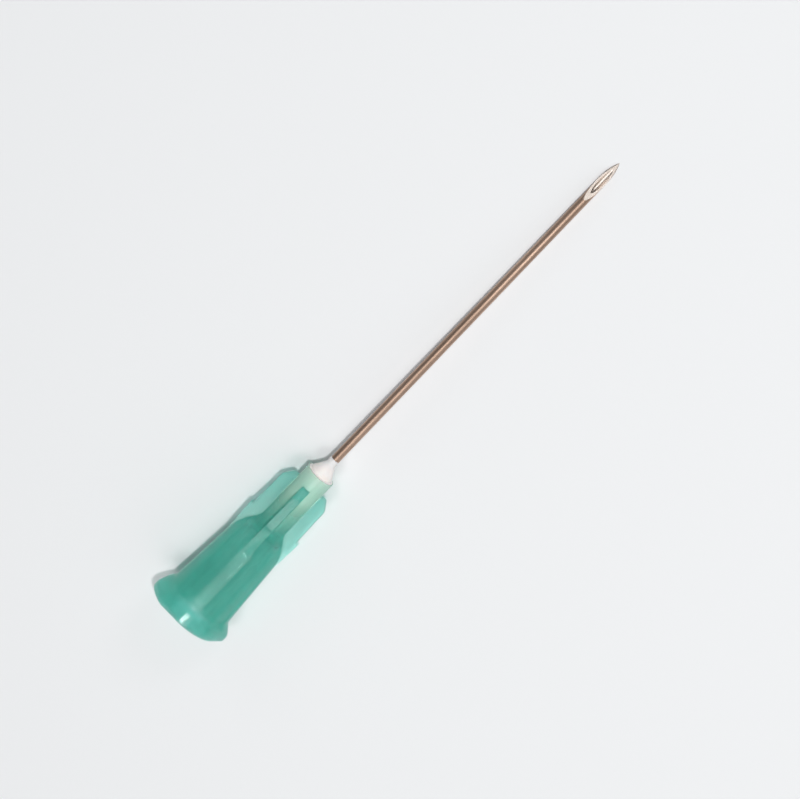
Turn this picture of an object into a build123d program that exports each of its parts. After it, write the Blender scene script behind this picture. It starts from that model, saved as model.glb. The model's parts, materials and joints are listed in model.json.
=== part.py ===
# Hypodermic needle, 21 gauge by 1 1/2 inch: a moulded hub with a Luer socket, a lancet-ground steel
# cannula and the cured adhesive that bonds it into the hub. Sizes are in millimetres.
#
# The needle lies as it does on a table, on the round collar of its hub and on its point, with one fin and
# the bevel facing up. X runs from the hub to the point, Z is up, and the surface that it lies on is
# Z = 0. "Along" is a distance from the rear face of the hub, measured on the needle's axis.

import os
from math import asin, atan2, cos, radians, sin, tan

from build123d import *

os.makedirs("parts", exist_ok=True)

# Driving sizes of the tube
tube_diameter = 0.82
tube_bore = 0.51
tube_exposed = 38.0

# Driving sizes of the ground point
bevel_angle = 11.0
facet_angle = 16.3
facet_turn = 30.0

# Driving sizes of the hub's outside
hub_length = 17.6
collar_diameter = 6.73
collar_length = 1.3
collar_slope_length = 0.35
barrel_rear_diameter = 5.7
barrel_front_diameter = 5.2
barrel_past_socket = 1.6
barrel_round = 4.0
shoulder_angle = 33.0
nose_root_round = 1.3
nose_root_diameter = 2.78
nose_end_diameter = 2.72

# Driving sizes of the locking lugs
lug_span = 7.8
lug_turn = 32.0
lug_crest_width = 2.9
lug_crest_length = 0.75
lug_slope_angle = 38.0
lug_flank_turn = 50.0

# Driving sizes of the fins
fin_count = 4
fin_thickness = 0.8
fin_rear_diameter = 5.16
fin_step_diameter = 5.58
fin_front_diameter = 4.96
fin_end_diameter = 3.76
fin_ramp_length = 3.75
fin_step_gap = 0.19
fin_bevel_length = 0.9
fin_nose_gap = 1.45

# Driving sizes of the hub's inside
socket_mouth_diameter = 4.3
socket_taper = 0.06
socket_depth = 7.9
cavity_diameter = 3.7
cavity_length = 2.5
cavity_end_round = 1.1
passage_diameter = 0.56
passage_length = 0.6
channel_clearance = 0.03

# Driving sizes of the adhesive and its well
well_depth = 3.3
well_floor_diameter = 1.2
well_floor_taper = 0.65
well_diameter = 2.0
flare_length = 1.5
flare_diameter = 2.56
cone_length = 1.24
cone_edge_land = 0.02
sleeve_wall = 0.04
sleeve_length = 0.6

# Small radii left by the mould
collar_edge_round = 0.15
lug_edge_round = 0.12
fin_edge_round = 0.1

# Radii and places worked out from the driving sizes
tube_radius = tube_diameter / 2
collar_radius = collar_diameter / 2
nose_end_radius = nose_end_diameter / 2
barrel_rear_along = collar_length + collar_slope_length
barrel_end_along = socket_depth + barrel_past_socket
shoulder_drop = (barrel_front_diameter - nose_root_diameter) / 2
nose_root_along = barrel_end_along + shoulder_drop / tan(radians(shoulder_angle))
lug_radius = lug_span / 2
lug_root_radius = barrel_front_diameter / 2
lug_front_along = lug_crest_length + (lug_radius - lug_root_radius) / tan(radians(lug_slope_angle))
fin_step_along = nose_root_along + fin_step_gap
fin_rear_along = fin_step_along - fin_ramp_length
fin_end_along = hub_length - fin_nose_gap
fin_bevel_along = fin_end_along - fin_bevel_length
cavity_end_along = socket_depth + cavity_length
tube_rear_along = cavity_end_along + passage_length
well_floor_along = hub_length - well_depth
well_wall_along = well_floor_along + well_floor_taper
flare_along = hub_length - flare_length
needle_length = hub_length + tube_exposed
socket_floor_diameter = socket_mouth_diameter - socket_taper * socket_depth
channel_radius = tube_radius + channel_clearance
cone_radius = nose_end_radius - cone_edge_land
sleeve_radius = tube_radius + sleeve_wall

# The pose: the axis slopes down from the collar to the point, both of which touch the surface
rest_tilt = atan2(collar_radius - tube_radius, needle_length - collar_length)
along = Vector(cos(rest_tilt), 0, -sin(rest_tilt))
upward = Vector(sin(rest_tilt), 0, cos(rest_tilt))
rear_height = collar_length * sin(rest_tilt) + collar_radius * cos(rest_tilt)
lying_length = needle_length * cos(rest_tilt) - collar_radius * sin(rest_tilt)
rear_centre = Vector(-lying_length / 2, 0, rear_height)
needle_axis = Axis(rear_centre, along)


def radial_plane(turn):
    """The plane that holds the axis, with local X along it and local Y outwards at this turn from up."""
    outward = upward.rotate(Axis((0, 0, 0), along), turn)
    return Plane(origin=rear_centre, x_dir=along, z_dir=along.cross(outward))


def distance_along(place):
    """How far along the needle's axis a place lies."""
    return (place - rear_centre).dot(along)


def distance_from_axis(place):
    """How far from the needle's axis a place lies."""
    return (place - rear_centre - along * distance_along(place)).length


def section_plane(distance, turn=0):
    """The plane square to the axis at this distance along it, with local Y at this turn from up."""
    sideways = Vector(0, 1, 0).rotate(Axis((0, 0, 0), along), turn)
    return Plane(origin=rear_centre, x_dir=sideways, z_dir=along).offset(distance)


# Two opposite locking lugs: cam-shaped lobes with a turned crest, straight flanks and a sloping front
with BuildPart() as lugs:
    crest_half_turn = asin(lug_crest_width / 2 / lug_radius)
    flank_turn = radians(lug_flank_turn)
    crest_corner = (lug_radius * cos(crest_half_turn), lug_crest_width / 2)
    flank_foot = (collar_radius * cos(flank_turn), collar_radius * sin(flank_turn))
    with BuildSketch(section_plane(0, lug_turn)):
        with BuildLine():
            ThreePointArc((crest_corner[0], -crest_corner[1]), (lug_radius, 0), crest_corner)
            Polyline(
                crest_corner,
                flank_foot,
                (0, 0),
                (flank_foot[0], -flank_foot[1]),
                (crest_corner[0], -crest_corner[1]),
            )
        make_face()
        mirror(about=Plane.YZ)
    extrude(amount=lug_front_along)
    with BuildSketch(radial_plane(0)):
        with BuildLine():
            Polyline(
                (0, 0),
                (0, lug_radius),
                (lug_crest_length, lug_radius),
                (lug_front_along, lug_root_radius),
                (lug_front_along, 0),
                close=True,
            )
        make_face()
    revolve(axis=needle_axis, mode=Mode.INTERSECT)
    lug_outer_edges = lugs.edges().filter_by(
        lambda edge: distance_from_axis(edge.center()) > collar_radius
    )
    fillet(lug_outer_edges, lug_edge_round)

# Fins that rise out of the barrel, stop the sheath at their step and end in a bevel on the nose
with BuildPart() as fins:
    with BuildSketch(radial_plane(0)):
        with BuildLine():
            Polyline(
                (fin_rear_along, 0),
                (fin_rear_along, fin_rear_diameter / 2),
                (fin_step_along, fin_step_diameter / 2),
                (fin_step_along, fin_front_diameter / 2),
                (fin_bevel_along, fin_front_diameter / 2),
                (fin_end_along, fin_end_diameter / 2),
                (fin_end_along, 0),
                close=True,
            )
        make_face()
    revolve(axis=needle_axis)
    with BuildSketch(section_plane(0)):
        with PolarLocations(fin_step_diameter / 2, fin_count):
            Rectangle(fin_step_diameter, fin_thickness)
    extrude(amount=fin_end_along, mode=Mode.INTERSECT)
    fin_front_edges = fins.edges().filter_by(
        lambda edge: distance_from_axis(edge.center()) > fin_end_diameter / 2 + fin_edge_round
        and distance_along(edge.center()) > fin_step_along + fin_edge_round
    )
    fillet(fin_front_edges, fin_edge_round)

# Hub: collar, barrel, shoulder and nose in one turned outline, joined by the lugs and fins
with BuildPart() as hub:
    with BuildSketch(radial_plane(0)):
        with BuildLine():
            shoulder = FilletPolyline(
                (barrel_rear_along, barrel_rear_diameter / 2),
                (barrel_end_along, barrel_front_diameter / 2),
                (nose_root_along, nose_root_diameter / 2),
                (hub_length, nose_end_radius),
                radius=[barrel_round, nose_root_round],
            )
            Polyline(
                (hub_length, nose_end_radius),
                (hub_length, 0),
                (0, 0),
                (0, collar_radius),
                (collar_length, collar_radius),
                (barrel_rear_along, barrel_rear_diameter / 2),
            )
        make_face()
    revolve(axis=needle_axis)
    collar_rims = hub.edges().filter_by(GeomType.CIRCLE).sort_by(lambda rim: rim.radius)[-2:]
    fillet(collar_rims, collar_edge_round)
    add(lugs.part)
    add(fins.part)

    # The socket, cavity, passage, channel and adhesive well, from the rear to the nose
    with BuildSketch(radial_plane(0)):
        with BuildLine():
            cavity = FilletPolyline(
                (socket_depth, cavity_diameter / 2),
                (cavity_end_along, cavity_diameter / 2),
                (cavity_end_along, passage_diameter / 2),
                radius=cavity_end_round,
            )
            Polyline(
                (cavity_end_along, passage_diameter / 2),
                (tube_rear_along, passage_diameter / 2),
                (tube_rear_along, channel_radius),
                (well_floor_along, channel_radius),
                (well_floor_along, well_floor_diameter / 2),
                (well_wall_along, well_diameter / 2),
                (flare_along, well_diameter / 2),
                (hub_length, flare_diameter / 2),
                (hub_length, 0),
                (0, 0),
                (0, socket_mouth_diameter / 2),
                (socket_depth, socket_floor_diameter / 2),
                (socket_depth, cavity_diameter / 2),
            )
        make_face()
    revolve(axis=needle_axis, mode=Mode.SUBTRACT)

hub.part.label = "hub"
export_step(hub.part, "parts/hub.step")

# Cannula: a drawn tube with one long bevel and two lancet facets that meet in the point
with BuildPart() as cannula:
    with BuildSketch(section_plane(tube_rear_along)):
        Circle(tube_radius)
        Circle(tube_bore / 2, mode=Mode.SUBTRACT)
    extrude(amount=needle_length - tube_rear_along)
    point = rear_centre + along * needle_length - upward * tube_radius
    for grind_angle, turn in ((bevel_angle, 0), (facet_angle, facet_turn), (facet_angle, -facet_turn)):
        facing = upward.rotate(Axis((0, 0, 0), along), turn)
        normal = facing * cos(radians(grind_angle)) + along * sin(radians(grind_angle))
        split(bisect_by=Plane(origin=point, z_dir=normal), keep=Keep.BOTTOM)

cannula.part.label = "cannula"
export_step(cannula.part, "parts/cannula.step")

# Adhesive: cured resin that fills the well, stands in a cone on the nose and runs out along the tube
with BuildPart() as adhesive:
    with BuildSketch(radial_plane(0)):
        with BuildLine():
            Polyline(
                (well_floor_along, tube_radius),
                (well_floor_along, well_floor_diameter / 2),
                (well_wall_along, well_diameter / 2),
                (flare_along, well_diameter / 2),
                (hub_length, flare_diameter / 2),
                (hub_length, cone_radius),
                (hub_length + cone_length, sleeve_radius),
                (hub_length + cone_length + sleeve_length, sleeve_radius),
                (hub_length + cone_length + sleeve_length + sleeve_wall, tube_radius),
                close=True,
            )
        make_face()
    revolve(axis=needle_axis)

adhesive.part.label = "adhesive"
export_step(adhesive.part, "parts/adhesive.step")
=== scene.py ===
"""Looks of a hypodermic needle: a translucent green hub, a ground steel cannula and cured adhesive.

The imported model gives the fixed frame. The hub, the cannula and the adhesive are remade here on the
same sizes with smooth, rounded surfaces, get their finishes, and lie in a plain pale studio.
"""

import json
import logging
import math
from collections.abc import Callable, Sequence
from dataclasses import dataclass, field
from enum import Enum

import bmesh
import bpy
from mathutils import Matrix, Vector


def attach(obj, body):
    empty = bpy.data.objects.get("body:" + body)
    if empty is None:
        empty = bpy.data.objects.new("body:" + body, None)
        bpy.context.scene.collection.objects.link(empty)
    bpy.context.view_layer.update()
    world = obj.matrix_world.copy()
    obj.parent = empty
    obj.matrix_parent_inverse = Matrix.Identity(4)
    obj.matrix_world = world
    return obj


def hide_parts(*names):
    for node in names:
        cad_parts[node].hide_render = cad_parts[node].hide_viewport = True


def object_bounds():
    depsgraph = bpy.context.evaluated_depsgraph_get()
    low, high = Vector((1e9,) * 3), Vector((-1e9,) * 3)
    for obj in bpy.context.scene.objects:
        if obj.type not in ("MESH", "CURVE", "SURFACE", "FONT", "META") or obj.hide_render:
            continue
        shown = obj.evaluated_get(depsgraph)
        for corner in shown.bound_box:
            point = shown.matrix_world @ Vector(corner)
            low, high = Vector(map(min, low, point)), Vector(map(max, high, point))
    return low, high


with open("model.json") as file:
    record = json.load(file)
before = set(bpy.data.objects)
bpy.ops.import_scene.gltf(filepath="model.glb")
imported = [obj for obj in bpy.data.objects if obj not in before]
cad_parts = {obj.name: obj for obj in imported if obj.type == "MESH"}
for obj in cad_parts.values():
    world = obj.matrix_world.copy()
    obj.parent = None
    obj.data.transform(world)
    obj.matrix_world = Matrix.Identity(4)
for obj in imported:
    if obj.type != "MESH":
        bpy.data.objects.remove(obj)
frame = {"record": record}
cad_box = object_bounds()

log = logging.getLogger("needle")

# One millimetre in the frame's metres
MM = 0.001
# The body that every piece rides on
ROOT = "root"
# The least share of a blend, which keeps soft_max from dividing by zero
LEAST_SHARE = 0.001
# The middle range of a noise's values, over which a finish is spread
NOISE_LOW = 0.3
NOISE_HIGH = 0.7
# The weighted normals lean fully on the large faces
LARGE_FACES = 100
# How often light is scattered inside the plastic
VOLUME_BOUNCES = 3

Colour = tuple[float, float, float, float]
Triple = tuple[float, float, float]
Outline = list[tuple[float, float]]


@dataclass(frozen=True)
class NeedleAxis:
    """The line that the needle is built on, from the middle of the hub's rear face to the point."""

    rear: Vector
    along: Vector

    @classmethod
    def from_frame(cls, record: dict) -> "NeedleAxis":
        """Reads the line from the socket's mount, whose axis points out of the hub's rear.

        Args:
            record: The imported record.

        Returns:
            The needle's axis, in metres.
        """
        socket = next(mount for mount in record["mounts"] if mount["name"] == "luer_socket")
        return cls(rear=Vector(socket["pos_m"]), along=-Vector(socket["axis"]).normalized())

    def matrix(self) -> Matrix:
        """Leads from the needle's own millimetres to the frame's metres.

        The needle's own X runs along it, its Y across it and its Z away from the floor.

        Returns:
            The matrix with the turn, the shift and the scale.
        """
        across = Vector((0.0, 1.0, 0.0))
        outward = self.along.cross(across)
        turn = Matrix((self.along, across, outward)).transposed().to_4x4()
        return Matrix.Translation(self.rear) @ turn @ Matrix.Scale(MM, 4)


@dataclass(frozen=True)
class TubeSizes:
    """Sizes of the cannula in millimetres, and its grinds and its crease in degrees."""

    radius: float = 0.41
    bore_radius: float = 0.255
    rear_along: float = 11.0
    point_along: float = 55.6
    bevel_angle: float = 11.0
    facet_angle: float = 16.3
    facet_turn: float = 30.0
    crease: float = 4.0
    columns: int = 256
    wall_steps: int = 4


@dataclass(frozen=True)
class HubSizes:
    """Sizes of the hub in millimetres, and its shoulder and its crease in degrees."""

    length: float = 17.6
    collar_radius: float = 3.365
    collar_length: float = 1.3
    collar_slope_length: float = 0.35
    collar_round: float = 0.15
    collar_root_round: float = 0.35
    barrel_rear_radius: float = 2.85
    barrel_front_radius: float = 2.6
    barrel_end_along: float = 9.5
    barrel_round: float = 4.0
    shoulder_angle: float = 33.0
    nose_root_radius: float = 1.39
    nose_root_round: float = 1.3
    nose_end_radius: float = 1.36
    nose_edge_round: float = 0.03
    socket_mouth_radius: float = 2.15
    mouth_chamfer: float = 0.12
    socket_floor_radius: float = 1.913
    socket_depth: float = 7.9
    cavity_radius: float = 1.85
    cavity_end_along: float = 10.4
    cavity_end_round: float = 1.1
    passage_radius: float = 0.28
    passage_end_along: float = 11.0
    channel_radius: float = 0.44
    cut_past_end: float = 0.4
    fine_step: float = 0.05
    fine_until: float = 3.0
    crease: float = 32.0
    columns: int = 160

    @property
    def nose_root_along(self) -> float:
        """Where the shoulder meets the nose."""
        drop = self.barrel_front_radius - self.nose_root_radius
        return self.barrel_end_along + drop / math.tan(math.radians(self.shoulder_angle))


@dataclass(frozen=True)
class FinSizes:
    """Sizes of the four fins in millimetres."""

    count: int = 4
    thickness: float = 0.8
    rear_radius: float = 2.58
    step_radius: float = 2.79
    front_radius: float = 2.48
    end_radius: float = 1.88
    foot_radius: float = 0.7
    ramp_length: float = 3.75
    step_gap: float = 0.19
    bevel_along: float = 15.25
    end_along: float = 16.15
    edge_round: float = 0.1
    edge_steps: int = 4


@dataclass(frozen=True)
class LugSizes:
    """Sizes of the two locking lugs in millimetres, and their turns and slope in degrees.

    Flank fall is how steeply a lug sinks past its flanks.
    """

    count: int = 2
    turn: float = 32.0
    radius: float = 3.9
    crest_half_turn: float = 21.83
    crest_length: float = 0.75
    flank_turn: float = 50.0
    slope_angle: float = 38.0
    crest_round: float = 0.2
    root_blend: float = 0.3
    flank_fall: float = 1.5


@dataclass(frozen=True)
class ResinSizes:
    """Sizes of the adhesive and its well in millimetres, and its crease in degrees.

    Bond is how far the plastic reaches into the adhesive.
    """

    floor_along: float = 14.3
    floor_radius: float = 0.6
    wall_along: float = 14.95
    well_radius: float = 1.0
    flare_along: float = 16.1
    flare_radius: float = 1.28
    cone_radius: float = 1.34
    cone_length: float = 1.24
    cone_round: float = 0.09
    meniscus_round: float = 0.5
    sleeve_wall: float = 0.04
    sleeve_length: float = 0.6
    bond: float = 0.02
    bore_past_end: float = 1.0
    crease: float = 50.0
    columns: int = 128


def rounded(corners: Sequence[tuple[float, float]], radii: dict[int, float], steps: int = 10) -> Outline:
    """Turns an open outline's corners into arcs.

    Args:
        corners: The outline's corners, along and outward.
        radii: The arc's radius for each corner to be rounded, by the corner's number.
        steps: The number of pieces in each arc.

    Returns:
        The outline with each rounded corner as points on its arc.
    """
    outline: Outline = []
    for number, corner in enumerate(corners):
        if number not in radii:
            outline.append(corner)
            continue
        middle = Vector(corner)
        back = (Vector(corners[number - 1]) - middle).normalized()
        ahead = (Vector(corners[number + 1]) - middle).normalized()
        half = back.angle(ahead) / 2
        centre = middle + (back + ahead).normalized() * (radii[number] / math.sin(half))
        start = middle + back * (radii[number] / math.tan(half)) - centre
        sweep = (math.pi - 2 * half) * math.copysign(1.0, start.x * ahead.y - start.y * ahead.x)
        for step in range(steps + 1):
            turned = Matrix.Rotation(sweep * step / steps, 2) @ start
            outline.append(tuple(centre + turned))
    return outline


def finer(outline: Outline, step: float, until: float) -> Outline:
    """Adds points to the stretches of an outline that run along the axis.

    Args:
        outline: The outline.
        step: The greatest distance along between its points.
        until: Where along the axis the added points end.

    Returns:
        The outline with the added points.
    """
    result = [outline[0]]
    for near, far in zip(outline, outline[1:]):
        pieces = math.ceil((far[0] - near[0]) / step) if far[0] <= until else 1
        for piece in range(1, max(pieces, 1) + 1):
            share = piece / max(pieces, 1)
            result.append(tuple(a + (b - a) * share for a, b in zip(near, far)))
    return result


def soft_max(first: float, second: float, blend: float) -> float:
    """Gives the larger of two values, eased over where they come within blend of each other."""
    near = max(0.0, 1.0 - abs(first - second) / blend)
    return max(first, second) + near * near * blend / 4


class Change(Enum):
    """The two ways in which one solid changes another."""

    JOIN = "UNION"
    CUT_AWAY = "DIFFERENCE"


@dataclass(frozen=True)
class Shaper:
    """Makes the needle's meshes in its own millimetres and leads them to the frame."""

    to_frame: Matrix

    @staticmethod
    def lathe(
        name: str,
        outline: Outline,
        columns: int,
        reach: Callable[[float, float, float], float] = lambda along, radius, turn: radius,
    ) -> bpy.types.Object:
        """Turns an outline round the axis into a closed solid.

        Args:
            name: The object's name.
            outline: Points along and outward, which start and end on the axis.
            columns: The number of steps round the axis.
            reach: The surface's radius, from a point's distance along, radius and turn from up.

        Returns:
            The new object, in the scene.
        """
        mesh = bmesh.new()
        tips = [mesh.verts.new((outline[end][0], 0.0, 0.0)) for end in (0, -1)]
        rings = []
        for along, radius in outline[1:-1]:
            ring = []
            for column in range(columns):
                turn = 2 * math.pi * column / columns
                wide = reach(along, radius, turn)
                ring.append(mesh.verts.new((along, wide * math.sin(turn), wide * math.cos(turn))))
            rings.append(ring)
        for column in range(columns):
            after = (column + 1) % columns
            mesh.faces.new((tips[0], rings[0][after], rings[0][column]))
            mesh.faces.new((tips[1], rings[-1][column], rings[-1][after]))
            for low, high in zip(rings, rings[1:]):
                mesh.faces.new((low[column], low[after], high[after], high[column]))
        return Shaper.place(name, mesh)

    @staticmethod
    def place(name: str, mesh: bmesh.types.BMesh) -> bpy.types.Object:
        """Writes a mesh to a new object with its faces outward.

        Args:
            name: The object's name.
            mesh: The mesh, which is freed.

        Returns:
            The new object, in the scene.
        """
        bmesh.ops.recalc_face_normals(mesh, faces=mesh.faces)
        data = bpy.data.meshes.new(name)
        mesh.to_mesh(data)
        mesh.free()
        piece = bpy.data.objects.new(name, data)
        bpy.context.scene.collection.objects.link(piece)
        return piece

    @staticmethod
    def settle(piece: bpy.types.Object) -> None:
        """Puts the result of a piece's modifiers into its own mesh and takes them off.

        Args:
            piece: The piece.
        """
        graph = bpy.context.evaluated_depsgraph_get()
        made = bpy.data.meshes.new_from_object(piece.evaluated_get(graph))
        piece.modifiers.clear()
        piece.data = made

    @staticmethod
    def combine(piece: bpy.types.Object, tool: bpy.types.Object, change: Change) -> None:
        """Joins a tool to a piece or cuts it away, and then deletes the tool.

        Args:
            piece: The piece that is changed.
            tool: The solid that is joined or cut away.
            change: Whether the tool is joined or cut away.
        """
        modifier = piece.modifiers.new(tool.name, "BOOLEAN")
        modifier.object = tool
        modifier.operation = change.value
        modifier.solver = "EXACT"
        Shaper.settle(piece)
        bpy.data.objects.remove(tool)

    @staticmethod
    def repeat_round_axis(piece: bpy.types.Object, count: int, material: bpy.types.Material) -> None:
        """Repeats a piece evenly round the axis with Geometry Nodes.

        Args:
            piece: The piece, which becomes all of its copies.
            count: The number of copies, the first of which stays in its place.
            material: The finish of the copies.
        """
        tree = bpy.data.node_groups.new("round_axis", "GeometryNodeTree")
        face = tree.interface
        face.new_socket("Shape", in_out="INPUT", socket_type="NodeSocketGeometry")
        copies = face.new_socket("Copies", in_out="INPUT", socket_type="NodeSocketInt")
        finish = face.new_socket("Material", in_out="INPUT", socket_type="NodeSocketMaterial")
        face.new_socket("Result", in_out="OUTPUT", socket_type="NodeSocketGeometry")
        kinds = (
            "NodeGroupInput", "GeometryNodeMeshLine", "GeometryNodeInputIndex", "ShaderNodeMath",
            "ShaderNodeMath", "ShaderNodeCombineXYZ", "FunctionNodeEulerToRotation",
            "GeometryNodeInstanceOnPoints", "GeometryNodeRealizeInstances", "GeometryNodeSetMaterial",
            "NodeGroupOutput",
        )
        entry, line, index, share, total, euler, rotation, instances, real, paint, result = (
            tree.nodes.new(kind) for kind in kinds
        )
        line.inputs["Offset"].default_value = (0.0, 0.0, 0.0)
        share.operation, total.operation = "DIVIDE", "MULTIPLY"
        total.inputs[1].default_value = 2 * math.pi
        links = (
            (entry.outputs["Copies"], line.inputs["Count"]),
            (index.outputs["Index"], share.inputs[0]),
            (entry.outputs["Copies"], share.inputs[1]),
            (share.outputs[0], total.inputs[0]),
            (total.outputs[0], euler.inputs["X"]),
            (euler.outputs[0], rotation.inputs[0]),
            (line.outputs["Mesh"], instances.inputs["Points"]),
            (entry.outputs["Shape"], instances.inputs["Instance"]),
            (rotation.outputs[0], instances.inputs["Rotation"]),
            (instances.outputs["Instances"], real.inputs["Geometry"]),
            (real.outputs["Geometry"], paint.inputs["Geometry"]),
            (entry.outputs["Material"], paint.inputs["Material"]),
            (paint.outputs["Geometry"], result.inputs["Result"]),
        )
        for start, end in links:
            tree.links.new(start, end)
        modifier = piece.modifiers.new("round_axis", "NODES")
        modifier.node_group = tree
        modifier[copies.identifier] = count
        modifier[finish.identifier] = material
        Shaper.settle(piece)

    def finish(
        self, piece: bpy.types.Object, node: str, materials: Sequence[bpy.types.Material], crease: float
    ) -> None:
        """Moves a piece's mesh into the frame, shades it and lets it stand for its CAD node.

        Args:
            piece: The piece, made in millimetres.
            node: The CAD node that it replaces.
            materials: The finishes, in the order of the faces' material numbers.
            crease: Edges that turn by more degrees than this stay crisp.
        """
        piece.data.transform(self.to_frame)
        # Clearing sets every face's material number to 0, so a list that is empty is left alone
        if len(piece.data.materials) > 0:
            piece.data.materials.clear()
        for material in materials:
            piece.data.materials.append(material)
        piece.data.set_sharp_from_angle(angle=math.radians(crease))
        weighted = piece.modifiers.new("even_shading", "WEIGHTED_NORMAL")
        weighted.weight = LARGE_FACES
        weighted.keep_sharp = True
        self.settle(piece)
        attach(piece, ROOT)
        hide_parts(node)


@dataclass(frozen=True)
class Hub:
    """The moulded hub, as one solid: turned body, lugs, fins and the hollow inside."""

    shaper: Shaper
    sizes: HubSizes = HubSizes()
    fins: FinSizes = FinSizes()
    lugs: LugSizes = LugSizes()
    resin: ResinSizes = ResinSizes()

    def flange(self, along: float, radius: float, turn: float) -> float:
        """Widens the collar to the lugs: turned crests, straight flanks and a sloping front.

        Args:
            along: A point's distance along the axis.
            radius: The turned body's radius there.
            turn: The point's turn from up, towards +Y.

        Returns:
            The radius with the lugs.
        """
        s, g = self.sizes, self.lugs
        spacing = 2 * math.pi / g.count
        middle = math.pi / 2 - math.radians(g.turn)
        swing = abs((turn - middle + spacing / 2) % spacing - spacing / 2)
        front = g.radius - (along - g.crest_length) * math.tan(math.radians(g.slope_angle))
        if front < radius - g.root_blend:
            return radius
        crest, flank = math.radians(g.crest_half_turn), math.radians(g.flank_turn)
        corner = Vector((math.cos(crest), math.sin(crest))) * g.radius
        run = Vector((math.cos(flank), math.sin(flank))) * s.collar_radius - corner
        if swing <= crest:
            width = g.radius
        elif swing < flank:
            reach = corner.x * run.y - corner.y * run.x
            width = reach / (math.cos(swing) * run.y - math.sin(swing) * run.x)
        else:
            width = s.collar_radius
        rim = min(along, s.collar_round)
        rim_loss = s.collar_round - math.sqrt(s.collar_round**2 - (s.collar_round - rim) ** 2)
        lug = -soft_max(-width, -front, g.crest_round)
        fade = max(0.0, swing - flank) * s.collar_radius * g.flank_fall
        past_crest = (along - s.collar_length + s.collar_round) / s.collar_slope_length
        blend = g.root_blend * min(max(past_crest, LEAST_SHARE), 1.0)
        return soft_max(radius, lug - rim_loss - fade, blend)

    def body(self) -> bpy.types.Object:
        """Turns the collar with its lugs, the barrel, the shoulder and the nose.

        Returns:
            The solid body.
        """
        s = self.sizes
        slope_end = s.collar_length + s.collar_slope_length
        corners = (
            (0.0, 0.0),
            (0.0, s.collar_radius),
            (s.collar_length, s.collar_radius),
            (slope_end, s.barrel_rear_radius),
            (s.barrel_end_along, s.barrel_front_radius),
            (s.nose_root_along, s.nose_root_radius),
            (s.length, s.nose_end_radius),
            (s.length, 0.0),
        )
        radii = {
            1: s.collar_round,
            2: s.collar_round,
            3: s.collar_root_round,
            4: s.barrel_round,
            5: s.nose_root_round,
            6: s.nose_edge_round,
        }
        outline = finer(rounded(corners, radii), s.fine_step, s.fine_until)
        return self.shaper.lathe("hub_body", outline, s.columns, self.flange)

    def hollow(self) -> bpy.types.Object:
        """Turns the room inside: socket, cavity, passage, channel and adhesive well.

        Returns:
            The solid that is cut away, which reaches out of both ends.
        """
        s, r = self.sizes, self.resin
        reach, lip = s.cut_past_end, s.mouth_chamfer
        flare_slope = (r.flare_radius - r.well_radius) / (s.length - r.flare_along)
        corners = (
            (-reach, 0.0),
            (-reach, s.socket_mouth_radius + lip),
            (0.0, s.socket_mouth_radius + lip),
            (lip, s.socket_mouth_radius),
            (s.socket_depth, s.socket_floor_radius),
            (s.socket_depth, s.cavity_radius),
            (s.cavity_end_along, s.cavity_radius),
            (s.cavity_end_along, s.passage_radius),
            (s.passage_end_along, s.passage_radius),
            (s.passage_end_along, s.channel_radius),
            (r.floor_along, s.channel_radius),
            (r.floor_along + r.bond, s.channel_radius),
            (r.floor_along + r.bond, r.floor_radius - r.bond),
            (r.wall_along + r.bond, r.well_radius - r.bond),
            (r.flare_along + r.bond, r.well_radius - r.bond),
            (s.length + reach, r.flare_radius - r.bond + flare_slope * reach),
            (s.length + reach, 0.0),
        )
        return self.shaper.lathe("hub_hollow", rounded(corners, {7: s.cavity_end_round}), s.columns)

    def fin_set(self, plastic: bpy.types.Material) -> bpy.types.Object:
        """Makes the fins, with rounded outer edges.

        Args:
            plastic: The hub's finish.

        Returns:
            The four fins as one object.
        """
        f = self.fins
        step_along = self.sizes.nose_root_along + f.step_gap
        outline = (
            (step_along - f.ramp_length, f.foot_radius),
            (step_along - f.ramp_length, f.rear_radius),
            (step_along, f.step_radius),
            (step_along, f.front_radius),
            (f.bevel_along, f.front_radius),
            (f.end_along, f.end_radius),
            (f.end_along, f.foot_radius),
        )
        mesh = bmesh.new()
        sides = [
            [mesh.verts.new((along, side * f.thickness / 2, radius)) for along, radius in outline]
            for side in (-1, 1)
        ]
        mesh.faces.new(sides[0])
        mesh.faces.new(reversed(sides[1]))
        for here, there in zip(range(len(outline)), [*range(1, len(outline)), 0]):
            mesh.faces.new((sides[0][there], sides[0][here], sides[1][here], sides[1][there]))
        outer = [
            edge
            for edge in mesh.edges
            if min(vert.co.z for vert in edge.verts) > f.foot_radius
            and max(vert.co.x for vert in edge.verts) > step_along + f.edge_round
        ]
        bmesh.ops.bevel(
            mesh,
            geom=outer,
            offset=f.edge_round,
            segments=f.edge_steps,
            profile=0.5,
            affect="EDGES",
            clamp_overlap=True,
        )
        fins = self.shaper.place("hub_fins", mesh)
        self.shaper.repeat_round_axis(fins, f.count, plastic)
        return fins

    def build(self, plastic: bpy.types.Material) -> bpy.types.Object:
        """Joins the body, fins and lugs, cuts the hollow and finishes the hub.

        Args:
            plastic: The hub's finish.

        Returns:
            The hub.
        """
        hub = self.body()
        self.shaper.combine(hub, self.fin_set(plastic), Change.JOIN)
        self.shaper.combine(hub, self.hollow(), Change.CUT_AWAY)
        hub.name = "hub_moulding"
        self.shaper.finish(hub, "hub", [plastic], self.sizes.crease)
        return hub


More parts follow.
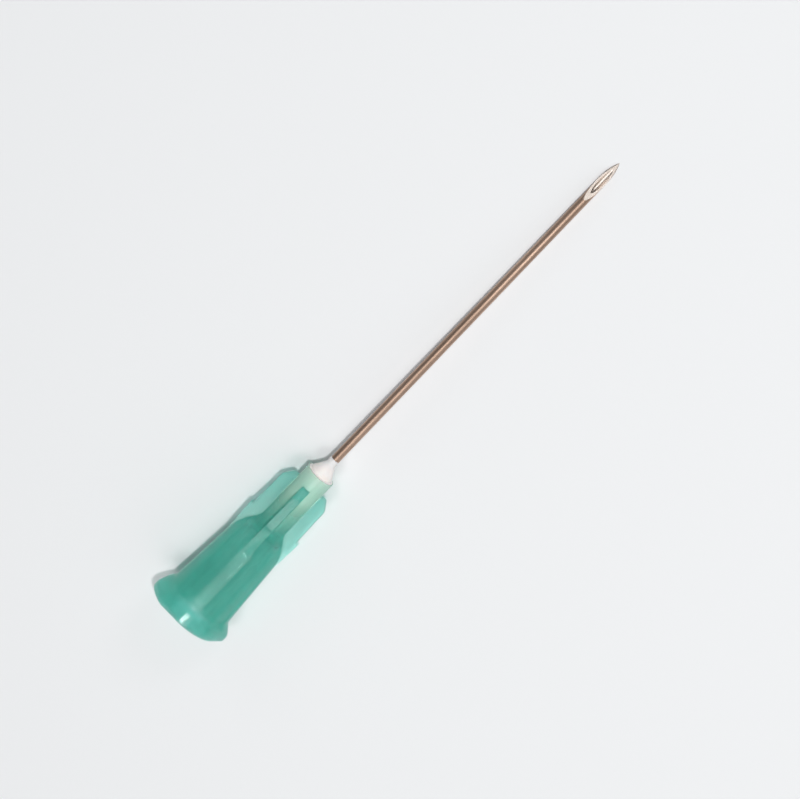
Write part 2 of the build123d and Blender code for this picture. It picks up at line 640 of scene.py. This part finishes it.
@dataclass(frozen=True)
class Cannula:
    """The steel tube, ground to a long bevel with two facets that meet in the point."""

    shaper: Shaper
    sizes: TubeSizes = TubeSizes()

    def end_along(self, across: float, up: float) -> float:
        """Finds how far the tube's wall reaches at a place in its section.

        Args:
            across: The place's distance to the side of the axis.
            up: The place's distance above the axis.

        Returns:
            The distance along the axis at which the first of the three grinds cuts the wall.
        """
        s = self.sizes
        grinds = (
            (s.bevel_angle, 0.0),
            (s.facet_angle, s.facet_turn),
            (s.facet_angle, -s.facet_turn),
        )
        ends = []
        for angle, turn in grinds:
            lean, swing = math.radians(angle), math.radians(turn)
            depth = -across * math.sin(swing) + (up + s.radius) * math.cos(swing)
            ends.append(s.point_along - depth / math.tan(lean))
        return min(ends)

    def build(self, drawn: bpy.types.Material, ground: bpy.types.Material) -> bpy.types.Object:
        """Makes the tube column by column, each ending on the grinds.

        Args:
            drawn: The finish of the walls.
            ground: The finish of the ground point.

        Returns:
            The cannula.
        """
        s = self.sizes
        mesh = bmesh.new()
        columns = []
        for number in range(s.columns):
            turn = 2 * math.pi * (number + 0.5) / s.columns
            side, top = math.sin(turn), math.cos(turn)
            wall = [
                s.bore_radius + (s.radius - s.bore_radius) * step / s.wall_steps
                for step in range(s.wall_steps + 1)
            ]
            ends = [
                mesh.verts.new((self.end_along(r * side, r * top), r * side, r * top)) for r in wall
            ]
            rears = [
                mesh.verts.new((s.rear_along, r * side, r * top)) for r in (s.bore_radius, s.radius)
            ]
            columns.append((rears, ends))
        for number, (rears, ends) in enumerate(columns):
            next_rears, next_ends = columns[(number + 1) % s.columns]
            mesh.faces.new((rears[1], next_rears[1], next_ends[-1], ends[-1]))
            mesh.faces.new((rears[0], next_rears[0], next_rears[1], rears[1]))
            mesh.faces.new((rears[0], ends[0], next_ends[0], next_rears[0])).material_index = 1
            for step in range(s.wall_steps):
                quad = (ends[step], ends[step + 1], next_ends[step + 1], next_ends[step])
                mesh.faces.new(quad).material_index = 1
        tube = self.shaper.place("cannula_tube", mesh)
        self.shaper.finish(tube, "cannula", [drawn, ground], s.crease)
        return tube


@dataclass(frozen=True)
class Adhesive:
    """The cured resin: it fills the well, stands in a cone on the nose and runs out along the tube."""

    shaper: Shaper
    sizes: ResinSizes = ResinSizes()
    hub: HubSizes = HubSizes()
    tube: TubeSizes = TubeSizes()

    def build(self, resin: bpy.types.Material) -> bpy.types.Object:
        """Turns the resin and bores it for the tube.

        Args:
            resin: The adhesive's finish.

        Returns:
            The adhesive.
        """
        s, nose, tube = self.sizes, self.hub.length, self.tube.radius
        cone_end = nose + s.cone_length
        sleeve_end = cone_end + s.sleeve_length
        corners = (
            (s.floor_along, 0.0),
            (s.floor_along, s.floor_radius),
            (s.wall_along, s.well_radius),
            (s.flare_along, s.well_radius),
            (nose, s.flare_radius),
            (nose, s.cone_radius),
            (cone_end, tube + s.sleeve_wall),
            (sleeve_end, tube + s.sleeve_wall),
            (sleeve_end + s.sleeve_wall, tube),
            (sleeve_end + s.sleeve_wall, 0.0),
        )
        radii = {5: s.cone_round, 6: s.meniscus_round, 7: s.sleeve_wall}
        cone = self.shaper.lathe("adhesive_resin", rounded(corners, radii), s.columns)
        bore_start, bore_end = s.floor_along - s.bore_past_end, sleeve_end + s.bore_past_end
        bore_outline = [(bore_start, 0.0), (bore_start, tube), (bore_end, tube), (bore_end, 0.0)]
        bore = self.shaper.lathe("adhesive_bore", bore_outline, s.columns)
        self.shaper.combine(cone, bore, Change.CUT_AWAY)
        self.shaper.finish(cone, "adhesive", [resin], s.crease)
        return cone


@dataclass(frozen=True)
class ViewPoint:
    """Where the photograph was taken from, as a place over the needle and a long lens.

    Target and distance are in metres, and the lens is in millimetres.
    """

    target: Vector = field(default_factory=lambda: Vector((-0.52, -0.44, 1.5)) * MM)
    heading_deg: float = 180.03
    steepness_deg: float = 68.78
    roll_deg: float = 223.79
    distance: float = 513.9 * MM
    lens: float = 272.0

    def place(self) -> None:
        """Creates the camera and makes it the scene's own."""
        heading, steepness = math.radians(self.heading_deg), math.radians(self.steepness_deg)
        level = Vector((math.cos(heading), math.sin(heading), 0.0))
        look = level * math.cos(steepness) - Vector((0.0, 0.0, math.sin(steepness)))
        right = look.cross(Vector((0.0, 0.0, 1.0))).normalized()
        up = right.cross(look)
        roll = Matrix.Rotation(math.radians(self.roll_deg), 3, -look)
        right, up = roll @ right, roll @ up
        data = bpy.data.cameras.new("view_point")
        data.lens = self.lens
        camera = bpy.data.objects.new("view_point", data)
        camera.matrix_world = Matrix.Translation(self.target - look * self.distance) @ (
            Matrix((right, up, -look)).transposed().to_4x4()
        )
        bpy.context.scene.collection.objects.link(camera)
        bpy.context.scene.camera = camera


@dataclass(frozen=True)
class Grain:
    """A noise that lies along the needle.

    Turns are its turns in a millimetre along, across and outward, detail is the number of its finer
    layers, and grit is how strong they are.
    """

    turns: Triple
    detail: float
    grit: float = 0.5


class NodeSheet:
    """A material's node tree, with short ways to add nodes and join them."""

    def __init__(self, name: str, axis: NeedleAxis) -> None:
        """Starts an empty tree for a new material.

        Args:
            name: The material's name.
            axis: The needle's axis, along which its textures lie.
        """
        self.axis = axis
        self.material = bpy.data.materials.new(name)
        self.material.use_nodes = True
        self.tree = self.material.node_tree
        self.tree.nodes.clear()
        self.output = self.tree.nodes.new("ShaderNodeOutputMaterial")

    def add(self, kind: str, **values: object) -> bpy.types.Node:
        """Adds a node and sets its properties or its inputs by name.

        Args:
            kind: The node's type name.
            **values: Property or input values; an underscore stands for a space in an input's name.

        Returns:
            The new node.
        """
        node = self.tree.nodes.new(kind)
        for key, value in values.items():
            if hasattr(node, key):
                setattr(node, key, value)
            else:
                node.inputs[key.replace("_", " ")].default_value = value
        return node

    def join(self, start: bpy.types.NodeSocket, end: bpy.types.NodeSocket) -> None:
        """Links an output socket to an input socket."""
        self.tree.links.new(start, end)

    def needle_place(self) -> bpy.types.NodeSocket:
        """Gives a point's place on the needle, in millimetres along, across and outward.

        Returns:
            The socket with the place, worked out from the object's coordinates.
        """
        shift, turn, scale = self.axis.matrix().inverted().decompose()
        place = self.add("ShaderNodeTexCoord")
        mapping = self.add("ShaderNodeMapping", Rotation=turn.to_euler(), Scale=scale)
        mapping.inputs["Location"].default_value = shift
        self.join(place.outputs["Object"], mapping.inputs["Vector"])
        return mapping.outputs["Vector"]

    def noise(self, grain: Grain) -> bpy.types.NodeSocket:
        """Adds a noise that lies along the needle.

        Args:
            grain: The noise's turns, detail and grit.

        Returns:
            The socket with values about one half.
        """
        mapping = self.add("ShaderNodeMapping", Scale=grain.turns)
        node = self.add("ShaderNodeTexNoise", Scale=1.0, Detail=grain.detail, Roughness=grain.grit)
        self.join(self.needle_place(), mapping.inputs["Vector"])
        self.join(mapping.outputs["Vector"], node.inputs["Vector"])
        return node.outputs["Fac"]

    def spread(self, value: bpy.types.NodeSocket, low: float, high: float) -> bpy.types.NodeSocket:
        """Maps a noise's middle range onto a range of values.

        Args:
            value: The noise.
            low: The value for the noise's low end.
            high: The value for its high end.

        Returns:
            The socket with the mapped value.
        """
        node = self.add(
            "ShaderNodeMapRange", From_Min=NOISE_LOW, From_Max=NOISE_HIGH, To_Min=low, To_Max=high
        )
        self.join(value, node.inputs["Value"])
        return node.outputs["Result"]

    def between(self, value: bpy.types.NodeSocket, low: Colour, high: Colour) -> bpy.types.NodeSocket:
        """Maps a noise's middle range onto the way from one colour to another.

        Args:
            value: The noise.
            low: The colour for the noise's low end.
            high: The colour for its high end.

        Returns:
            The socket with the colour.
        """
        node = self.add("ShaderNodeValToRGB")
        ends = node.color_ramp.elements
        ends[0].position, ends[0].color = NOISE_LOW, low
        ends[1].position, ends[1].color = NOISE_HIGH, high
        self.join(value, node.inputs["Fac"])
        return node.outputs["Color"]

    def tinted(
        self, share: bpy.types.NodeSocket, varying: bpy.types.NodeSocket, tint: Colour
    ) -> bpy.types.NodeSocket:
        """Mixes a tint into a colour that varies over the surface.

        Args:
            share: The share of the tint, from 0 to 1.
            varying: The colour that varies.
            tint: The tint.

        Returns:
            The socket with the mixed colour.
        """
        node = self.add("ShaderNodeMix", data_type="RGBA")
        sockets = {socket.identifier: socket for socket in (*node.inputs, *node.outputs)}
        self.join(share, sockets["Factor_Float"])
        self.join(varying, sockets["A_Color"])
        sockets["B_Color"].default_value = tint
        return sockets["Result_Color"]

    def relief(self, height: bpy.types.NodeSocket, depth: float, strength: float) -> bpy.types.NodeSocket:
        """Turns a height into a surface normal.

        Args:
            height: The height, from 0 to 1.
            depth: What a height of 1 means in metres.
            strength: The share of the effect.

        Returns:
            The socket with the normal.
        """
        node = self.add("ShaderNodeBump", Distance=depth, Strength=strength)
        self.join(height, node.inputs["Height"])
        return node.outputs["Normal"]


@dataclass(frozen=True)
class GreenPolypropylene:
    """Translucent sea-green moulding resin: milky in thin walls, deep green where it is thick.

    Cover is the share of the light that the clear surface bends; the rest passes straight through.
    Skin depth is in metres, and the places and radii of the painted glow, a paler milk painted on the
    nose, are in millimetres.
    """

    clouds: Grain = Grain((0.26, 0.42, 0.42), 3.0)
    flow: Grain = Grain((0.18, 1.5, 1.5), 2.0)
    skin: Grain = Grain((2.6, 2.6, 2.6), 2.0)
    skin_depth: float = 4e-6
    skin_strength: float = 0.3
    milk_low: Colour = (0.10, 0.58, 0.46, 1.0)
    milk_high: Colour = (0.24, 0.72, 0.60, 1.0)
    milk_share_low: float = 0.09
    milk_share_high: float = 0.16
    absorption: Colour = (0.03, 0.90, 0.82, 1.0)
    absorption_density: float = 1250.0
    scatter: Colour = (0.80, 1.0, 0.95, 1.0)
    scatter_density: float = 620.0
    roughness_low: float = 0.06
    roughness_high: float = 0.13
    clear: Colour = (1.0, 1.0, 1.0, 1.0)
    cover: float = 0.5
    ior: float = 1.49
    # Painted glow: a paler milk painted on the nose round the adhesive, for light scattered back through
    # the wall
    painted_glow_colour: Colour = (0.62, 0.86, 0.70, 1.0)
    painted_glow_share: float = 0.36
    painted_glow_from: float = 11.0
    painted_glow_full: float = 15.0
    painted_glow_radius: float = 1.40
    painted_glow_edge: float = 1.45

    def painted_bond_glow(self, sheet: NodeSheet) -> bpy.types.NodeSocket:
        """Adds a painted glow: a paler milk painted on the nose where the adhesive backs its thin wall,
        for the light that the adhesive scatters back through it.

        Args:
            sheet: The material's nodes.

        Returns:
            The socket with the painted glow's strength, from 0 to 1.
        """
        parts = sheet.add("ShaderNodeSeparateXYZ")
        sheet.join(sheet.needle_place(), parts.inputs["Vector"])
        radius = sheet.add("ShaderNodeVectorMath", operation="LENGTH")
        flat = sheet.add("ShaderNodeCombineXYZ")
        sheet.join(parts.outputs["Y"], flat.inputs["Y"])
        sheet.join(parts.outputs["Z"], flat.inputs["Z"])
        sheet.join(flat.outputs["Vector"], radius.inputs[0])
        forward = sheet.add("ShaderNodeMapRange", From_Min=self.painted_glow_from, From_Max=self.painted_glow_full)
        inward = sheet.add("ShaderNodeMapRange", From_Min=self.painted_glow_edge, From_Max=self.painted_glow_radius)
        sheet.join(parts.outputs["X"], forward.inputs["Value"])
        sheet.join(radius.outputs["Value"], inward.inputs["Value"])
        painted_glow_mask = sheet.add("ShaderNodeMath", operation="MULTIPLY")
        sheet.join(forward.outputs["Result"], painted_glow_mask.inputs[0])
        sheet.join(inward.outputs["Result"], painted_glow_mask.inputs[1])
        return painted_glow_mask.outputs["Value"]

    def surface(self, sheet: NodeSheet) -> bpy.types.NodeSocket:
        """Adds the clear surface with its milk, faint flow lines, soft skin and the painted glow on the
        nose.

        Args:
            sheet: The material's nodes.

        Returns:
            The socket with the surface's shader.
        """
        clouds, flow = sheet.noise(self.clouds), sheet.noise(self.flow)
        normal = sheet.relief(sheet.noise(self.skin), self.skin_depth, self.skin_strength)
        roughness = sheet.spread(flow, self.roughness_low, self.roughness_high)
        painted_glow_mask = self.painted_bond_glow(sheet)
        glass = sheet.add(
            "ShaderNodeBsdfPrincipled",
            Base_Color=self.clear,
            IOR=self.ior,
            Transmission_Weight=1.0,
            Alpha=self.cover,
        )
        milk = sheet.add("ShaderNodeBsdfPrincipled", IOR=self.ior)
        body = sheet.between(clouds, self.milk_low, self.milk_high)
        # The milk turns to the painted glow colour on the nose
        sheet.join(sheet.tinted(painted_glow_mask, body, self.painted_glow_colour), milk.inputs["Base Color"])
        for shader in (glass, milk):
            sheet.join(roughness, shader.inputs["Roughness"])
            sheet.join(normal, shader.inputs["Normal"])
        # The painted glow also raises the milk's share on the nose
        share = sheet.add("ShaderNodeMath", operation="MULTIPLY_ADD")
        share.inputs[1].default_value = self.painted_glow_share
        sheet.join(painted_glow_mask, share.inputs[0])
        sheet.join(sheet.spread(clouds, self.milk_share_low, self.milk_share_high), share.inputs[2])
        both = sheet.add("ShaderNodeMixShader")
        sheet.join(share.outputs["Value"], both.inputs["Fac"])
        sheet.join(glass.outputs["BSDF"], both.inputs[1])
        sheet.join(milk.outputs["BSDF"], both.inputs[2])
        return both.outputs["Shader"]

    def inside(self, sheet: NodeSheet) -> bpy.types.NodeSocket:
        """Adds the plastic's inside, which absorbs red light most and scatters every colour.

        Args:
            sheet: The material's nodes.

        Returns:
            The socket with the volume's shader.
        """
        absorb = sheet.add(
            "ShaderNodeVolumeAbsorption", Color=self.absorption, Density=self.absorption_density
        )
        scatter = sheet.add("ShaderNodeVolumeScatter", Color=self.scatter, Density=self.scatter_density)
        both = sheet.add("ShaderNodeAddShader")
        sheet.join(absorb.outputs["Volume"], both.inputs[0])
        sheet.join(scatter.outputs["Volume"], both.inputs[1])
        return both.outputs["Shader"]

    def material(self, axis: NeedleAxis) -> bpy.types.Material:
        """Makes the material from its surface and its inside.

        Args:
            axis: The needle's axis.

        Returns:
            The material.
        """
        sheet = NodeSheet("green_polypropylene", axis)
        sheet.join(self.surface(sheet), sheet.output.inputs["Surface"])
        sheet.join(self.inside(sheet), sheet.output.inputs["Volume"])
        return sheet.material


class SteelFinish(Enum):
    """The two ways in which the cannula's surface was worked."""

    DRAWN = "drawn_steel"
    GROUND = "ground_steel"


@dataclass(frozen=True)
class Steel:
    """Stainless steel with fine marks and a broader wear. Depth is the marks' depth in metres."""

    finish: SteelFinish
    low: Colour
    high: Colour
    marks: Grain
    wear: Grain
    depth: float
    roughness_high: float
    roughness_low: float = 0.40
    strength: float = 0.7

    @classmethod
    def drawn(cls) -> "Steel":
        """Gives the finish of the tube's wall, with its marks lengthwise.

        Returns:
            The finish.
        """
        return cls(
            SteelFinish.DRAWN,
            low=(0.40, 0.275, 0.205, 1.0),
            high=(0.62, 0.44, 0.34, 1.0),
            marks=Grain((0.22, 9.0, 9.0), 5.0, 0.65),
            wear=Grain((0.077, 3.15, 3.15), 2.0),
            depth=5e-7,
            roughness_high=0.50,
        )

    @classmethod
    def ground(cls) -> "Steel":
        """Gives the finish of the ground point, with its marks crosswise.

        Returns:
            The finish.
        """
        return cls(
            SteelFinish.GROUND,
            low=(0.78, 0.68, 0.60, 1.0),
            high=(0.90, 0.81, 0.74, 1.0),
            marks=Grain((16.0, 0.9, 0.9), 5.0, 0.65),
            wear=Grain((5.6, 0.315, 0.315), 2.0),
            depth=4e-7,
            roughness_high=0.52,
        )

    def material(self, axis: NeedleAxis) -> bpy.types.Material:
        """Makes the material.

        Args:
            axis: The needle's axis.

        Returns:
            The material.
        """
        sheet = NodeSheet(self.finish.value, axis)
        marks = sheet.noise(self.marks)
        roughness = sheet.spread(marks, self.roughness_low, self.roughness_high)
        shader = sheet.add("ShaderNodeBsdfPrincipled", Metallic=1.0)
        body = sheet.between(sheet.noise(self.wear), self.low, self.high)
        sheet.join(body, shader.inputs["Base Color"])
        sheet.join(roughness, shader.inputs["Roughness"])
        sheet.join(sheet.relief(marks, self.depth, self.strength), shader.inputs["Normal"])
        sheet.join(shader.outputs["BSDF"], sheet.output.inputs["Surface"])
        return sheet.material


@dataclass(frozen=True)
class CuredResin:
    """Opaque white adhesive with a soft, slightly warm body and a faintly uneven skin.

    Skin depth and glow scale are in metres.
    """

    body: Grain = Grain((0.9, 0.9, 0.9), 4.0)
    skin: Grain = Grain((1.6, 3.0, 3.0), 2.0)
    skin_depth: float = 1e-5
    skin_strength: float = 0.6
    low: Colour = (0.84, 0.79, 0.76, 1.0)
    high: Colour = (0.91, 0.88, 0.86, 1.0)
    roughness_low: float = 0.30
    roughness_high: float = 0.48
    glow_weight: float = 0.35
    glow_radius: Triple = (1.0, 0.75, 0.6)
    glow_scale: float = 0.35 * MM

    def material(self, axis: NeedleAxis) -> bpy.types.Material:
        """Makes the material.

        Args:
            axis: The needle's axis.

        Returns:
            The material.
        """
        sheet = NodeSheet("cured_resin", axis)
        body = sheet.noise(self.body)
        roughness = sheet.spread(body, self.roughness_low, self.roughness_high)
        normal = sheet.relief(sheet.noise(self.skin), self.skin_depth, self.skin_strength)
        shader = sheet.add(
            "ShaderNodeBsdfPrincipled",
            Subsurface_Weight=self.glow_weight,
            Subsurface_Radius=self.glow_radius,
            Subsurface_Scale=self.glow_scale,
        )
        sheet.join(sheet.between(body, self.low, self.high), shader.inputs["Base Color"])
        sheet.join(roughness, shader.inputs["Roughness"])
        sheet.join(normal, shader.inputs["Normal"])
        sheet.join(shader.outputs["BSDF"], sheet.output.inputs["Surface"])
        return sheet.material


class LampRole(Enum):
    """The studio's lamps.

    The key casts the thin shadow, the window lights the ground bevel, the spark is mirrored in the
    collar, the ceiling gives barrel and tube their light band, the front is mirrored in the bevel of
    the top fin, and the walls fill the two sides.
    """

    KEY = "key_lamp"
    WINDOW = "window_lamp"
    SPARK = "spark_lamp"
    CEILING = "ceiling_lamp"
    FRONT = "front_lamp"
    NEAR_WALL = "near_wall_lamp"
    FAR_WALL = "far_wall_lamp"


@dataclass(frozen=True)
class Lamp:
    """A soft lamp, in metres and watts, and whether glossy surfaces mirror it."""

    role: LampRole
    place: Vector
    width: float
    height: float
    power: float
    mirrored: bool = True

    def hang(self) -> None:
        """Creates the lamp, facing the middle of the needle."""
        data = bpy.data.lights.new(self.role.value, "AREA")
        data.shape = "RECTANGLE"
        data.size = self.width
        data.size_y = self.height
        data.energy = self.power
        lamp = bpy.data.objects.new(self.role.value, data)
        lamp.location = self.place
        lamp.rotation_euler = (-self.place).to_track_quat("-Z", "Y").to_euler()
        lamp.visible_glossy = self.mirrored
        bpy.context.scene.collection.objects.link(lamp)


@dataclass(frozen=True)
class Studio:
    """A pale floor under the needle, a pale surround and soft lamps."""

    floor_size: float = 1.2
    floor_colour: Colour = (0.80, 0.81, 0.82, 1.0)
    floor_roughness: float = 0.7
    surround_colour: Colour = (0.80, 0.81, 0.82, 1.0)
    surround_strength: float = 0.17
    mirror_strength: float = 0.20

    def lay_floor(self, height: float) -> None:
        """Lays a plain pale floor at this height.

        Args:
            height: The floor's level in metres.
        """
        half = self.floor_size / 2
        mesh = bpy.data.meshes.new("floor")
        corners = [(-half, -half), (half, -half), (half, half), (-half, half)]
        mesh.from_pydata([(x, y, height) for x, y in corners], [], [(0, 1, 2, 3)])
        floor = bpy.data.objects.new("floor", mesh)
        bpy.context.scene.collection.objects.link(floor)
        material = bpy.data.materials.new("pale_floor")
        material.use_nodes = True
        paint = material.node_tree.nodes["Principled BSDF"]
        paint.inputs["Base Color"].default_value = self.floor_colour
        paint.inputs["Roughness"].default_value = self.floor_roughness
        mesh.materials.append(material)

    def light_surround(self) -> None:
        """Gives the world one pale, even colour, a little brighter where glossy surfaces mirror it."""
        world = bpy.data.worlds.new("surround")
        world.use_nodes = True
        tree = world.node_tree
        background = tree.nodes["Background"]
        background.inputs["Color"].default_value = self.surround_colour
        rays = tree.nodes.new("ShaderNodeLightPath")
        strength = tree.nodes.new("ShaderNodeMapRange")
        strength.inputs["To Min"].default_value = self.surround_strength
        strength.inputs["To Max"].default_value = self.mirror_strength
        tree.links.new(rays.outputs["Is Glossy Ray"], strength.inputs["Value"])
        tree.links.new(strength.outputs["Result"], background.inputs["Strength"])
        bpy.context.scene.world = world

    def hang_lamps(self) -> None:
        """Hangs the lamps round the needle."""
        lamps = (
            Lamp(LampRole.KEY, Vector((0.16, -0.06, 0.50)), 0.02, 0.02, 1.3, mirrored=False),
            Lamp(LampRole.WINDOW, Vector((0.11, -0.02, 0.50)), 0.12, 0.12, 0.22),
            Lamp(LampRole.SPARK, Vector((-0.185, -0.03, 0.50)), 0.12, 0.025, 0.32),
            Lamp(LampRole.CEILING, Vector((-0.134, -0.12, 0.50)), 0.30, 0.20, 0.57),
            Lamp(LampRole.FRONT, Vector((0.494, -0.01, 0.38)), 0.18, 0.18, 0.28),
            Lamp(LampRole.NEAR_WALL, Vector((-0.02, -0.48, 0.34)), 0.70, 0.40, 0.5),
            Lamp(LampRole.FAR_WALL, Vector((0.14, 0.48, 0.32)), 0.24, 0.24, 0.14),
        )
        for lamp in lamps:
            lamp.hang()


def main() -> None:
    """Builds the pieces and the studio in order, and reports each piece."""
    logging.basicConfig(level=logging.INFO, format="%(message)s")
    bpy.context.scene.view_settings.view_transform = "Standard"
    bpy.context.scene.cycles.volume_bounces = VOLUME_BOUNCES
    axis = NeedleAxis.from_frame(frame["record"])
    shaper = Shaper(axis.matrix())
    pieces = (
        Hub(shaper).build(GreenPolypropylene().material(axis)),
        Cannula(shaper).build(Steel.drawn().material(axis), Steel.ground().material(axis)),
        Adhesive(shaper).build(CuredResin().material(axis)),
    )
    for piece in pieces:
        log.info("%s has %d faces", piece.name, len(piece.data.polygons))
    low, _ = cad_box
    studio = Studio()
    studio.lay_floor(low[2])
    studio.light_surround()
    studio.hang_lamps()
    ViewPoint().place()


if __name__ == "__main__":
    main()
